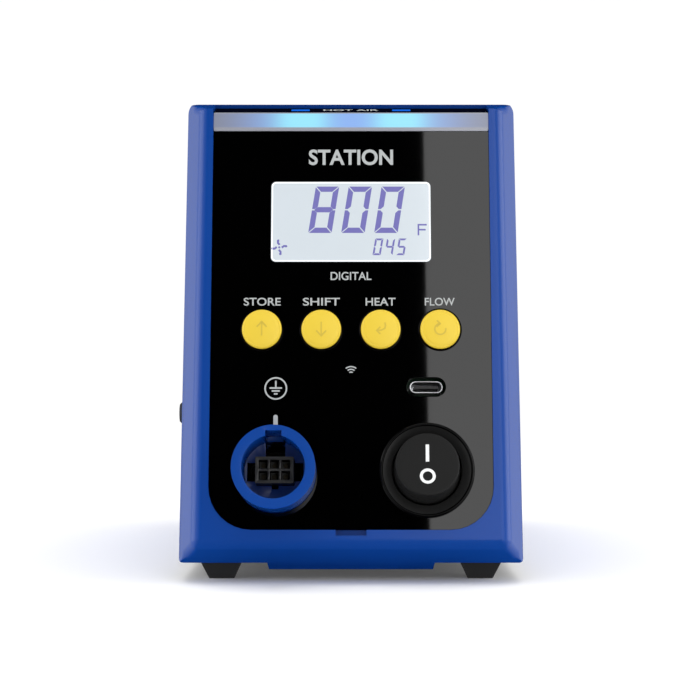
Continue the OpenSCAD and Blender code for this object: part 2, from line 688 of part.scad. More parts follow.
// ---- Electronics ----
module main_board() color("#1c6b3c") difference() {
    box(pcb_x, pcb_x + pcb_w, pcb_y, pcb_y + pcb_l, pcb_z, pcb_top);
    for (p = pcb_holes) translate([p[0], p[1], pcb_z - 1]) cylinder(r = 1.6, h = pcb_t + 2);
}
module board_screws() color("silver") for (p = pcb_holes) translate([p[0], p[1], pcb_top]) screw(2.6, 1.6, 1.25, 6);
coil_x = pcb_x + 25;
coil_y = pcb_y + 26;
module transformer_core() color("#5b5f66") difference() {
    box(coil_x - 17, coil_x + 17, coil_y - 8, coil_y + 8, pcb_top + 1, pcb_top + 29);
    for (side = [-1, 1]) box(coil_x + side * 8.5 - 3, coil_x + side * 8.5 + 3, coil_y - 9, coil_y + 9, pcb_top + 6.5, pcb_top + 23.5);
}
module transformer_coil() color("#b9872f") difference() {
    union() {
        box(coil_x - 11.3, coil_x + 11.3, coil_y - 14, coil_y + 14, pcb_top + 7, pcb_top + 23);
        box(coil_x - 13, coil_x + 13, coil_y - 15, coil_y - 8.2, pcb_top, pcb_top + 25);
        box(coil_x - 13, coil_x + 13, coil_y + 8.2, coil_y + 15, pcb_top, pcb_top + 25);
    }
    box(coil_x - 5.6, coil_x + 5.6, coil_y - 8.1, coil_y + 8.1, 0, big);
    for (side = [-1, 1]) box(coil_x + side * 16.4 - 5, coil_x + side * 16.4 + 5, coil_y - 8.1, coil_y + 8.1, 0, big);
}
module capacitors() color("#2d2f52") for (i = [0:1]) translate([pcb_x + 12 + 13 * i, pcb_y + 55, pcb_top])
    cylinder(r = 5, h = min(12, under_motor));
sink_y = pcb_y + 84;
module heat_sink() color("#a9adb3") {
    box(pcb_x + 9, pcb_x + 37, sink_y, sink_y + 3, pcb_top, pcb_top + 24);
    for (i = [0:6]) box(pcb_x + 9 + 4.4 * i, pcb_x + 10.6 + 4.4 * i, sink_y + 3 - eps, sink_y + 10, pcb_top, pcb_top + 24);
}
module triac() color("#1b1b1d") {
    box(pcb_x + 18, pcb_x + 28, sink_y - 4.4, sink_y, pcb_top + 6, pcb_top + 21);
    for (i = [-1:1]) box(pcb_x + 22.6 + 2.5 * i, pcb_x + 23.4 + 2.5 * i, sink_y - 2.4, sink_y - 1.8, pcb_top, pcb_top + 6 + eps);
}
module relay() color("#2456b8")
    box(pcb_x + 10, pcb_x + 29, pcb_y + 64, pcb_y + 76, pcb_top, pcb_top + min(13, under_motor));
module board_sockets() color("#ece8da") for (y = [pcb_y + 44, pcb_y + 57, pcb_y + 70]) difference() {
    box(pcb_x + 36, pcb_x + 43, y, y + 12, pcb_top, pcb_top + 9);
    box(pcb_x + 37, pcb_x + 42, y + 1, y + 11, pcb_top + 2, pcb_top + 10);
}
ribbon_t = 0.8;
ribbon_up = 46;
ribbon_y = face_y + ribbon_up * sin(lean) - (board_front - board_t) * cos(lean);
ribbon_z = face_z + ribbon_up * cos(lean) + (board_front - board_t) * sin(lean);
module ribbon_cable() color("#c9c6bd") translate([4, 0, 0]) rotate([90, 0, 90]) linear_extrude(12) polygon([
    [ribbon_y, ribbon_z], [ribbon_y + 6, ribbon_z - 1], [pcb_y + 5, pcb_top + 7], [pcb_y + 5, pcb_top],
    [pcb_y + 5 + ribbon_t, pcb_top], [pcb_y + 5 + ribbon_t, pcb_top + 7.4], [ribbon_y + 6.4, ribbon_z - 0.1],
    [ribbon_y + 0.4, ribbon_z + ribbon_t]]);
module air_filter() color("#3b3d40") box(-filter_w / 2, filter_w / 2, back_y - back_sink - back_t - 6, back_y - back_sink - back_t,
    filter_z - filter_h / 2, filter_z + filter_h / 2);

// ---- Mains inlet ----
module inlet_body() color("#131315") difference() {
    union() {
        box(inlet_x - inlet_w / 2, inlet_x + inlet_w / 2, back_y - back_sink, back_y + inlet_flange_t,
            inlet_z - inlet_h / 2, inlet_z + inlet_h / 2);
        box(inlet_x - inlet_body_w / 2, inlet_x + inlet_body_w / 2, back_y - inlet_d, back_y,
            inlet_z - inlet_body_h / 2, inlet_z + inlet_body_h / 2);
    }
    translate([inlet_x, back_y + 3, inlet_z + cavity_up]) rotate([90, 0, 0]) linear_extrude(cavity_d + 3)
        polygon([[-cavity_w / 2, -cavity_h / 2], [cavity_w / 2, -cavity_h / 2], [cavity_w / 2, cavity_h / 2 - 5],
            [cavity_w / 2 - 5, cavity_h / 2], [5 - cavity_w / 2, cavity_h / 2], [-cavity_w / 2, cavity_h / 2 - 5]]);
    box(inlet_x - slot_w / 2, inlet_x + slot_w / 2, back_y - slot_d, back_y + 3,
        inlet_z + slot_up - slot_h / 2, inlet_z + slot_up + slot_h / 2);
    for (p = pin_places) translate([inlet_x + p[0], 0, inlet_z + cavity_up + p[1]])
        box(-1, 1, back_y - 30, back_y - cavity_d + 1, -2, 2);
    for (side = [-1, 1]) translate([inlet_x + side * ear_pitch / 2, 0, inlet_z]) {
        along_y(back_y - 2, back_y + 3, 1.6);
        along_y(back_y + 0.8, back_y + 3, 3);
    }
}
pin_places = [[-7, -2], [7, -2], [0, 2]];
module inlet_pins() color("#d6d8da") for (p = pin_places) translate([inlet_x + p[0], 0, inlet_z + cavity_up + p[1]])
    box(-1, 1, back_y - inlet_d - 6, back_y - 2, -2, 2);
module inlet_screws() color("silver") for (side = [-1, 1])
    translate([inlet_x + side * ear_pitch / 2, back_y + 0.8, inlet_z]) rotate([-90, 0, 0]) screw(2.7, 1.1, 1.5, 8);
module fuse_drawer() color("#1b1b1e") translate([inlet_x, 0, inlet_z + slot_up]) difference() {
    box(-slot_w / 2 + free_gap, slot_w / 2 - free_gap, back_y - 20, back_y + back_reach, free_gap - slot_h / 2, slot_h / 2 - free_gap);
    box(-fuse_l / 2 - 0.2, fuse_l / 2 + 0.2, back_y - 12 - fuse_r, back_y - 12 + fuse_r, -fuse_r, slot_h);
    translate([0, 0, slot_h / 2 - free_gap]) box(-5, 5, back_y + 1, back_y + 4, -1.4, 1);
}
module fuse() color("#d5dde0") translate([inlet_x, back_y - 12, inlet_z + slot_up]) {
    along_x(-fuse_l / 2, fuse_l / 2, fuse_r - 0.05);
}

front_frame();
front_panel();
light_bar();
top_label();
light_windows();
cover();
tray();
back_panel();
feet();
foot_screws();
back_screws();
holder_screws();
display_window();
display_frame();
display_glass();
display_backlight();
display_board();
display_screws();
key_switches();
status_lights();
remote_eye();
key_1();
key_2();
key_3();
key_4();
usb_shell();
usb_tongue();
hose_socket();
socket_plug();
socket_pins();
rocker_housing();
rocker_button();
rocker_tabs();
air_duct();
duct_clips();
blower_housing();
blower_cover();
blower_dampers();
impeller();
motor();
motor_shaft();
main_board();
board_screws();
transformer_core();
transformer_coil();
capacitors();
heat_sink();
triac();
relay();
board_sockets();
ribbon_cable();
air_filter();
inlet_body();
inlet_pins();
inlet_screws();
fuse_drawer();
fuse();
rating_plate();
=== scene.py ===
"""Hot air station: the visible pieces, their finishes and a plain studio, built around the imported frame."""
import json
import math
import bpy
import bmesh
from mathutils import Matrix, Vector


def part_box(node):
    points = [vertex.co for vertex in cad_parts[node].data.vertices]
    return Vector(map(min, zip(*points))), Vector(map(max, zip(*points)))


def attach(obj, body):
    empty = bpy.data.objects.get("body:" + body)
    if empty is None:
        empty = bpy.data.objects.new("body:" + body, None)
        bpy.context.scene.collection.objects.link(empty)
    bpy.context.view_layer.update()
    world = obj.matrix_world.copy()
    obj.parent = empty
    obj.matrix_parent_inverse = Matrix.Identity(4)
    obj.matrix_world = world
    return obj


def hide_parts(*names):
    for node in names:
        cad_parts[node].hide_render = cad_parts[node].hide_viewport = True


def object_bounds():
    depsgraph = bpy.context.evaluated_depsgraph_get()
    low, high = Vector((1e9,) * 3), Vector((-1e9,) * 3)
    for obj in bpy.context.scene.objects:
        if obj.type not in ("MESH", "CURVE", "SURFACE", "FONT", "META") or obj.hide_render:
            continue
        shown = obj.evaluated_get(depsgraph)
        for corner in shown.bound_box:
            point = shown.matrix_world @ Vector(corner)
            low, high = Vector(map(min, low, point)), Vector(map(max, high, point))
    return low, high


bl_info = {
    "name": "Hot Air Station",
    "version": (1, 0, 0),
    "blender": (4, 5, 0),
    "location": "3D View > Sidebar > Station",
    "description": "Builds the pieces and finishes of a bench hot air station",
    "category": "Object",
}

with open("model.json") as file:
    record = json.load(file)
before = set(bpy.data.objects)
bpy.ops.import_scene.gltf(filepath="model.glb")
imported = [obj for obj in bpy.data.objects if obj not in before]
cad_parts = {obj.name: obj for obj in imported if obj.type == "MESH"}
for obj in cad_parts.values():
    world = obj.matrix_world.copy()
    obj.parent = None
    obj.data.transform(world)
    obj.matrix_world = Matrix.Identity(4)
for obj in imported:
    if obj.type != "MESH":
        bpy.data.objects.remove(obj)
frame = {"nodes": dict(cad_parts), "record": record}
cad_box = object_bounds()
MM = 0.001

# ---- Places, worked out from the frame ----
MOUNTS = {mount["name"]: mount for mount in frame["record"]["mounts"]}
JOINTS = {joint["name"]: joint for joint in frame["record"]["behaviour"]["joints"]}
SOCKET = Vector(MOUNTS["hose_collar"]["pos_m"])
OUT = Vector(MOUNTS["hose_collar"]["axis"]).normalized()
LEAN = math.asin(OUT.z)
UP = Vector((0, math.sin(LEAN), math.cos(LEAN)))

# The slanted front in millimetres: X to the right, Y up the front, Z out of it.
SOCKET_X = SOCKET.x / MM
SOCKET_UP, SOCKET_OUT = 20.0, 6.65
FACE = Matrix.Translation(Vector((0, SOCKET.y, SOCKET.z)) - MM * (SOCKET_UP * UP + SOCKET_OUT * OUT))
FACE = FACE @ Matrix.Rotation(math.pi / 2 - LEAN, 4, "X") @ Matrix.Scale(MM, 4)
PANEL_FRONT = -0.5
KEY_UP, KEY_PITCH = 58.9, 16.2
DISPLAY_UP = 89.3
NAME_UP, KIND_UP, KEY_WORDS_UP, EARTH_UP, EYE_UP = 107.65, 73.9, 66.7, 42.7, 46.5
INK, FIGURE = 0.03, 0.02

# The label above the light bar slopes back by this depth over this rise.
BAR_TOP = 120.52
LABEL_DEPTH, LABEL_RISE = 8.5, 3.9
ON_LABEL = FACE @ Matrix.Translation((0, BAR_TOP, 0))
ON_LABEL = ON_LABEL @ Matrix.Rotation(-math.atan2(LABEL_DEPTH, LABEL_RISE), 4, "X")

# The rocker's button: a round face hollowed by a wide cylinder, above a part of a ball.
ROCKER = JOINTS["rocker_tilt"]
ROCKER_TILT = math.radians((ROCKER["range_deg"][1] - ROCKER["range_deg"][0]) / 2)
ROCKER_R, ROCKER_BALL_R, ROCKER_BORE_R, ROCKER_FLANGE_R = 8.6, 9.2, 9.45, 12.85
ROCKER_OUT, ROCKER_DIP, ROCKER_HOLLOW = 7.6, 0.8, 45.0


def key_x(number):
    """Distance of a key from the middle, in millimetres."""
    return (number - 1.5) * KEY_PITCH


# ---- Shader building ----
class Wire:
    """One output socket; arithmetic on it adds Math nodes to its tree."""

    def __init__(self, tree, socket):
        self.tree, self.socket = tree, socket

    def _math(self, operation, first, second=None, third=None):
        node = self.tree.nodes.new("ShaderNodeMath")
        node.operation = operation
        for place, value in zip(node.inputs, (first, second, third)):
            if isinstance(value, Wire):
                self.tree.links.new(value.socket, place)
            elif value is not None:
                place.default_value = value
        return Wire(self.tree, node.outputs[0])

    def __add__(self, other):
        return self._math("ADD", self, other)

    __radd__ = __add__

    def __sub__(self, other):
        return self._math("SUBTRACT", self, other)

    def __rsub__(self, other):
        return self._math("SUBTRACT", other, self)

    def __mul__(self, other):
        return self._math("MULTIPLY", self, other)

    __rmul__ = __mul__

    def __truediv__(self, other):
        return self._math("DIVIDE", self, other)

    def __rtruediv__(self, other):
        return self._math("DIVIDE", other, self)

    def __pow__(self, other):
        return self._math("POWER", self, other)

    def __abs__(self):
        return self._math("ABSOLUTE", self)

    def clip(self):
        return self._math("MINIMUM", self._math("MAXIMUM", self, 0.0), 1.0)


class Finish:
    """A material under construction."""

    def __init__(self, name, **principled):
        self.material = bpy.data.materials.new(name)
        self.material.use_nodes = True
        self.tree = self.material.node_tree
        self.tree.nodes.clear()
        self.shader = self.tree.nodes.new("ShaderNodeBsdfPrincipled")
        output = self.tree.nodes.new("ShaderNodeOutputMaterial")
        self.tree.links.new(self.shader.outputs[0], output.inputs[0])
        for socket, value in principled.items():
            self.set(socket.replace("_", " "), value)

    def set(self, socket, value):
        """Links a wire to one of the shader's sockets, or writes a constant there."""
        place = self.shader.inputs[socket]
        if isinstance(value, Wire):
            self.tree.links.new(value.socket, place)
        else:
            place.default_value = (*value, 1.0) if isinstance(value, tuple) and len(value) == 3 else value

    def node(self, kind, settings=None, result=0, **sockets):
        """Adds any other node; a socket is named, or given by its number after an underscore."""
        node = self.tree.nodes.new("ShaderNode" + kind)
        for key, value in (settings or {}).items():
            setattr(node, key, value)
        for key, value in sockets.items():
            numbered = key[0] == "_"
            place = node.inputs[int(key[1:]) if numbered else key.replace("_", " ")]
            if isinstance(value, Wire):
                self.tree.links.new(value.socket, place)
            else:
                coloured = isinstance(value, tuple) and len(value) == 3 and len(place.default_value) == 4
                place.default_value = (*value, 1.0) if coloured else value
        return Wire(self.tree, node.outputs[result])

    def place(self):
        """Object coordinates, in metres."""
        return self.node("TexCoord", result=3)

    def split(self):
        """The three object coordinates as separate wires."""
        node = self.node("SeparateXYZ", Vector=self.place()).socket.node
        return [Wire(self.tree, output) for output in node.outputs]

    def noise(self, scale, detail=3.0, roughness=0.5, stretch=None):
        where = self.place()
        if stretch:
            where = self.node("Mapping", Vector=where, Scale=stretch)
        return self.node("TexNoise", Vector=where, Scale=scale, Detail=detail, Roughness=roughness)

    def mix(self, factor, dark, light):
        return self.node("Mix", {"data_type": "RGBA"}, 2, _0=factor, _6=dark, _7=light)

    def bump(self, height, depth, strength=1.0):
        self.set("Normal", self.node("Bump", Height=height, Distance=depth, Strength=strength))


def shade(colour, by):
    """A colour made darker or lighter."""
    return tuple(min(1.0, part * by) for part in colour)


def moulded(name, colour, roughness, grain=0.004 * MM, scale=4200.0, mottle=0.06, coat=0.0, spread=0.08,
            sheen=0.5):
    """Moulded plastic or rubber: a fine eroded grain, faint flow marks and uneven polish."""
    finish = Finish(name, Coat_Weight=coat, Coat_Roughness=0.1, Specular_IOR_Level=sheen)
    flow = finish.noise(28.0, 2.0)
    finish.set("Base Color", finish.mix(flow, shade(colour, 1 - mottle), shade(colour, 1 + mottle)))
    texture = finish.noise(scale, 4.0, 0.6)
    finish.set("Roughness", roughness - spread / 2 + spread * texture + 0.3 * spread * flow)
    finish.bump(texture + 0.4 * finish.noise(scale / 5, 2.0), grain)
    return finish.material


def metal(name, colour, roughness, stretch=(1.0, 1.0, 18.0), scale=900.0):
    """Drawn or rolled metal with fine lines along one axis."""
    finish = Finish(name, Metallic=1.0)
    lines = finish.noise(scale, 3.0, 0.6, stretch=stretch)
    finish.set("Base Color", finish.mix(lines, shade(colour, 0.86), shade(colour, 1.08)))
    finish.set("Roughness", roughness + 0.22 * lines)
    finish.bump(lines, 0.002 * MM)
    return finish.material


def glossy_panel(name, colour):
    """Polished acrylic: almost a mirror, with the faint waviness of a moulded sheet."""
    finish = Finish(name, Coat_Weight=0.0, IOR=1.5)
    wave = finish.noise(22.0, 1.0)
    finish.set("Base Color", finish.mix(wave, shade(colour, 0.9), shade(colour, 1.1)))
    finish.set("Roughness", 0.018 + 0.012 * finish.noise(90.0, 3.0))
    finish.bump(wave, 0.002 * MM)
    return finish.material


def lit(name, colour, strength, base=None, roughness=0.3, sheen=0.5, coat=0.3):
    """A translucent piece that is lit from behind, a little unevenly."""
    finish = Finish(name, Emission_Strength=strength, Roughness=roughness, Specular_IOR_Level=sheen,
                    Coat_Weight=coat, Coat_Roughness=0.05)
    haze = finish.noise(140.0, 3.0)
    finish.set("Base Color", base or colour)
    finish.set("Emission Color", finish.mix(haze, shade(colour, 0.97), shade(colour, 1.03)))
    finish.bump(haze, 0.002 * MM)
    return finish.material


def bar_finish(colours):
    """The silver diffuser: brushed grey at its ends, with two blue lights behind it; its top rim and lower
    band are light grey as painted highlight and painted reflection.
    """
    finish = Finish("light bar", Roughness=0.3, Coat_Weight=0.4, Coat_Roughness=0.08, Emission_Strength=1.0)
    across, _, height = finish.split()
    glow, core = 0.0, 0.0
    for spot in (-colours.spot_x, colours.spot_x):
        distance = (across - spot) / colours.spot_width
        squared = distance * distance
        core = core + 1.0 / (1.0 + squared * squared * 0.9)
        glow = glow + 1.0 / (1.0 + squared * squared * 0.03)
    edge = (height - colours.bar_low) / (colours.bar_high - colours.bar_low)
    lit_part = ((edge - 0.24) * 18.0).clip() * ((0.965 - edge) * 40.0).clip()
    fine = finish.noise(700.0, 3.0, 0.6, stretch=(0.3, 1.0, 12.0))
    wide = finish.mix((glow * 0.62).clip(), tuple(colours.bar_dark), tuple(colours.bar_blue))
    bright = finish.mix((core * 0.95).clip(), wide, tuple(colours.bar_core))
    finish.set("Emission Color", finish.mix(lit_part, (0.0, 0.0, 0.0), bright))
    diffuser = finish.mix(fine, (0.06, 0.06, 0.065), (0.09, 0.09, 0.095))
    # Outside the glowing band the base is light grey: a painted highlight on the top rim and a painted
    # reflection on the lower chamfer.
    finish.set("Base Color", finish.mix(lit_part, (0.3, 0.31, 0.36), diffuser))
    finish.bump(fine, 0.002 * MM)
    return finish.material


def key_finish(colour):
    """Yellow plastic whose skirt, below the panel's face, is painted dark brown as painted shade for the
    narrow gap around the key.
    """
    finish = Finish("yellow key", Specular_IOR_Level=0.35)
    _, along, height = finish.split()
    origin = FACE.translation
    out = (along - origin.y) * OUT.y + (height - origin.z) * OUT.z
    # Mask: 1 above the panel's face, 0 below it, where the dark brown is painted shade.
    cap = ((out / MM - 0.05) * 4.0).clip()
    flow = finish.noise(60.0, 2.0)
    yellow = finish.mix(flow, shade(colour, 0.98), shade(colour, 1.02))
    # Dark brown below the face: painted shade for the gap between key and panel.
    finish.set("Base Color", finish.mix(cap, (0.012, 0.006, 0.003), yellow))
    texture = finish.noise(4200.0, 4.0, 0.6)
    finish.set("Roughness", 0.38 + 0.08 * texture)
    finish.bump(texture, 0.003 * MM)
    return finish.material


FINISHES = {}


def finish(name):
    """A material that has been made."""
    return FINISHES[name]


def srgb(red, green, blue):
    """A colour in display values, from 0 to 255, as linear parts."""
    def straight(value):
        value /= 255
        return value / 12.92 if value <= 0.04045 else ((value + 0.055) / 1.055) ** 2.4
    return tuple(straight(v) for v in (red, green, blue))


# ---- Mesh building ----
def add_piece(name, mesh, material, body="station", replaces=(), smooth=30.0):
    """Links a finished mesh as a piece that rides on a body."""
    piece = bpy.data.objects.new(name, mesh)
    bpy.context.scene.collection.objects.link(piece)
    mesh.materials.clear()
    mesh.materials.append(finish(material))
    mesh.shade_smooth()
    mesh.set_sharp_from_angle(angle=math.radians(smooth))
    if replaces:
        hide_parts(*replaces)
    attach(piece, body)
    return piece


def from_bmesh(bm, name, place=None):
    """Turns a bmesh into a mesh, at a place if one is given."""
    if place is not None:
        bmesh.ops.transform(bm, matrix=place, verts=bm.verts)
    mesh = bpy.data.meshes.new(name)
    bm.to_mesh(mesh)
    bm.free()
    return mesh


def cad_copy(node):
    """A merged copy of a CAD node's loose triangles, its flat faces joined up."""
    bm = bmesh.new()
    bm.from_mesh(frame["nodes"][node].data)
    bmesh.ops.remove_doubles(bm, verts=bm.verts, dist=2e-6)
    bmesh.ops.dissolve_limit(bm, angle_limit=math.radians(0.4), verts=bm.verts, edges=bm.edges, delimit=set())
    bmesh.ops.triangulate(bm, faces=[face for face in bm.faces if len(face.verts) > 40])
    return from_bmesh(bm, node)


def weigh_normals(mesh, limit=50.0):
    """Lets large faces set the normals at their corners, so that only the roundings shade as curved."""
    normals = []
    around = {}
    for face in mesh.polygons:
        for vert in face.vertices:
            around.setdefault(vert, []).append(face)
    near = math.cos(math.radians(limit))
    for face in mesh.polygons:
        for vert in face.vertices:
            total = Vector((0, 0, 0))
            for other in around[vert]:
                if other.normal.dot(face.normal) > near:
                    total += other.normal * other.area
            normals.append(total.normalized())
    mesh.normals_split_custom_set(normals)


def round_edges(bm, edges, width, segments, clamp=True):
    """Bevels the given edges by a width in millimetres."""
    bmesh.ops.bevel(bm, geom=edges, offset=width * MM, offset_type="OFFSET", segments=segments, profile=0.5,
                    affect="EDGES", clamp_overlap=clamp, material=-1)


def border_edges(bm, border):
    """The edges around the flat front, and the mitres of its border, cut short at their outer ends."""
    width = max(vert.co.x for vert in bm.verts) - min(vert.co.x for vert in bm.verts)
    chosen = []
    for edge in list(bm.edges):
        if len(edge.link_faces) != 2 or edge.calc_length() < 4 * MM:
            continue
        if min(abs(vert.co.x) for vert in edge.verts) < 0.42 * width:
            continue
        least, most = sorted(OUT.dot(face.normal) for face in edge.link_faces)
        if not 0.2 < least < 0.8 or math.degrees(edge.calc_face_angle(0.0)) < 40:
            continue
        if most < 0.8:
            outer, inner = sorted(edge.verts, key=lambda vert: OUT.dot(vert.co))
            split = bmesh.utils.edge_split(edge, outer, 1.25 * border * MM / edge.calc_length())[1]
            edge = next(other for other in split.link_edges if inner in other.verts)
        chosen.append(edge)
    return chosen


def rounded_frame(node, border, fine):
    """The front frame's mesh: a wide rounding around the flat front, a fine one on the other sharp edges."""
    mesh = cad_copy(node)
    bm = bmesh.new()
    bm.from_mesh(mesh)
    round_edges(bm, border_edges(bm, border), border, 8, clamp=False)
    sharp = [edge for edge in bm.edges if len(edge.link_faces) == 2 and edge.calc_length() > 0.6 * MM
             and math.degrees(edge.calc_face_angle(0.0)) > 40]
    round_edges(bm, sharp, fine, 2)
    bm.to_mesh(mesh)
    bm.free()
    return mesh


def softened(node, material, width, body="station", segments=3):
    """A copy of a CAD node whose edges, where they turn by over 30 degrees, are rounded."""
    piece = add_piece(node + "_shell", cad_copy(node), material, body, (node,))
    bevel = piece.modifiers.new("edges", "BEVEL")
    bevel.width = width * MM
    bevel.segments = segments
    bevel.limit_method = "ANGLE"
    bevel.angle_limit = math.radians(30)
    bevel.use_clamp_overlap = True
    bevel.harden_normals = True
    bevel.miter_outer = "MITER_ARC"


def sheet(node, material):
    """A copy of a perforated shell that keeps its flat sides flat."""
    mesh = cad_copy(node)
    add_piece(node + "_shell", mesh, material, replaces=(node,))
    weigh_normals(mesh, 35.0)


def lathe(name, profile, material, place, body="station", replaces=(), steps=72):
    """Spins a profile of (radius, height) points, in millimetres, about the place's own Z axis."""
    bm = bmesh.new()
    verts = [bm.verts.new((r, 0, z)) for r, z in profile]
    edges = [bm.edges.new(pair) for pair in zip(verts, verts[1:])]
    bmesh.ops.spin(bm, geom=verts + edges, axis=(0, 0, 1), cent=(0, 0, 0), angle=2 * math.pi, steps=steps,
                   use_merge=True, use_duplicate=False)
    bmesh.ops.remove_doubles(bm, verts=bm.verts, dist=1e-4)
    bmesh.ops.recalc_face_normals(bm, faces=bm.faces)
    return add_piece(name, from_bmesh(bm, name, place), material, body, replaces, smooth=40.0)


def raise_faces(bm, faces, height):
    """Gives flat faces a thickness towards +Z."""
    made = bmesh.ops.extrude_face_region(bm, geom=faces, use_keep_orig=True)
    verts = [v for v in made["geom"] if isinstance(v, bmesh.types.BMVert)]
    bmesh.ops.translate(bm, verts=verts, vec=(0, 0, height))


def flat(bm, points, height):
    """A flat plate with the given outline."""
    face = bm.faces.new([bm.verts.new((x, y, 0)) for x, y in points])
    face.normal_update()
    if face.normal.z > 0:
        face.normal_flip()
    raise_faces(bm, [face], height)


def stroke(bm, points, width, height, closed=False):
    """A line of even width with mitred corners."""
    points = [Vector(p) for p in points]
    count = len(points)
    left, right = [], []
    for i, here in enumerate(points):
        before = points[i - 1] if i or closed else here
        after = points[(i + 1) % count] if i < count - 1 or closed else here
        into, out = (here - before), (after - here)
        into = into.normalized() if into.length > 1e-9 else out.normalized()
        out = out.normalized() if out.length > 1e-9 else into
        side = Vector((-(into + out).y, (into + out).x)).normalized()
        reach = width / 2 / max(0.35, side.dot(Vector((-out.y, out.x))))
        left.append(here + side * reach)
        right.append(here - side * reach)
    sides = range(count if closed else count - 1)
    faces = []
    rows = [[bm.verts.new((p.x, p.y, 0)) for p in row] for row in (left, right)]
    for i in sides:
        j = (i + 1) % count
        face = bm.faces.new((rows[0][i], rows[0][j], rows[1][j], rows[1][i]))
        face.normal_update()
        faces.append(face)
    for face in faces:
        if face.normal.z > 0:
            face.normal_flip()
    raise_faces(bm, faces, height)


def curve(x, y, radius, start, end, steps=20):
    """Points of an arc between two angles in degrees."""
    angles = [math.radians(start + (end - start) * i / steps) for i in range(steps + 1)]
    return [(x + radius * math.cos(angle), y + radius * math.sin(angle)) for angle in angles]


def ring(bm, x, y, radius, width, height, steps=40):
    """A flat ring."""
    stroke(bm, curve(x, y, radius, 0, 360, steps)[:-1], width, height, closed=True)


def rounded(w, h, r, steps=6):
    """The outline of a rectangle with round corners."""
    x, y = w / 2 - r, h / 2 - r
    corners = ((x, y, 0), (-x, y, 90), (-x, -y, 180), (x, -y, 270))
    return [p for x, y, a in corners for p in curve(x, y, r, a, a + 90, steps)]


def lettering(bm, words, x, y, cap, width, weight=0.0, height=INK):
    """Plain letters with a given capital height and width, centred on x and y."""
    font = bpy.data.curves.new("letters", "FONT")
    font.body = words
    font.offset = weight
    carrier = bpy.data.objects.new("letters", font)
    bpy.context.scene.collection.objects.link(carrier)
    bpy.context.view_layer.update()
    mesh = bpy.data.meshes.new_from_object(carrier.evaluated_get(bpy.context.evaluated_depsgraph_get()))
    bpy.data.objects.remove(carrier)
    letters = bmesh.new()
    letters.from_mesh(mesh)
    bpy.data.meshes.remove(mesh)
    bmesh.ops.remove_doubles(letters, verts=letters.verts, dist=1e-5)
    xs = [v.co.x for v in letters.verts]
    ys = [v.co.y for v in letters.verts]
    grow = Matrix.Diagonal((width / (max(xs) - min(xs)), cap / (max(ys) - min(ys)), 1, 1))
    middle = Matrix.Translation((-(max(xs) + min(xs)) / 2, -(max(ys) + min(ys)) / 2, 0))
    bmesh.ops.transform(letters, matrix=Matrix.Translation((x, y, 0)) @ grow @ middle, verts=letters.verts)
    for face in letters.faces:
        face.normal_update()
        if face.normal.z > 0:
            face.normal_flip()
    raise_faces(letters, list(letters.faces), height)
    joined = bpy.data.meshes.new("letters")
    letters.to_mesh(joined)
    letters.free()
    bm.from_mesh(joined)
    bpy.data.meshes.remove(joined)


SEGMENTS = {"0": "abcdef", "4": "bcfg", "5": "acdfg", "8": "abcdefg"}


def digit(bm, figure, x, y, w, h, t, slant, g=0.18):
    """A seven-segment figure of bars t thick and gaps g wide, its lower left corner at x and y."""
    half = h / 2
    tip, root = g + t * 0.3, g + t * 0.8
    shapes = {
        "a": [(g, h), (w - g, h), (w - g - t, h - t), (g + t, h - t)],
        "d": [(g, 0), (w - g, 0), (w - g - t, t), (g + t, t)],
        "g": [(tip, half), (root, half + t / 2), (w - root, half + t / 2), (w - tip, half),
              (w - root, half - t / 2), (root, half - t / 2)],
        "f": [(0, h - g), (0, half + g), (t * 0.5, half + g), (t, half + g + t * 0.5), (t, h - g - t)],
        "e": [(0, g), (0, half - g), (t * 0.5, half - g), (t, half - g - t * 0.5), (t, g + t)],
    }
    shapes["b"] = [(w - p[0], p[1]) for p in shapes["f"]]
    shapes["c"] = [(w - p[0], p[1]) for p in shapes["e"]]
    for name in SEGMENTS[figure]:
        flat(bm, [(x + p[0] + p[1] * slant, y + p[1]) for p in shapes[name]], FIGURE)


# ---- Settings ----
class StationSizes(bpy.types.PropertyGroup):
    """Sizes of roundings and raised marks, in millimetres"""
    foot_round: bpy.props.FloatProperty(
        name="Foot edges", description="Rounding of the feet in millimetres", default=0.45, min=0.05, max=1.0)
    border_round: bpy.props.FloatProperty(
        name="Border edges", description="Rounding around the flat front in millimetres",
        default=2.2, min=0.2, max=3.0)
    fine_round: bpy.props.FloatProperty(
        name="Fine edges", description="Rounding of small pieces in millimetres",
        default=0.15, min=0.02, max=0.4)
    key_radius: bpy.props.FloatProperty(
        name="Key radius", description="Radius of a key's cap in millimetres", default=5.45, min=4.0, max=5.5)
    mark_relief: bpy.props.FloatProperty(
        name="Key mark relief", description="Height of the symbols in millimetres",
        default=0.1, min=0.02, max=0.15)


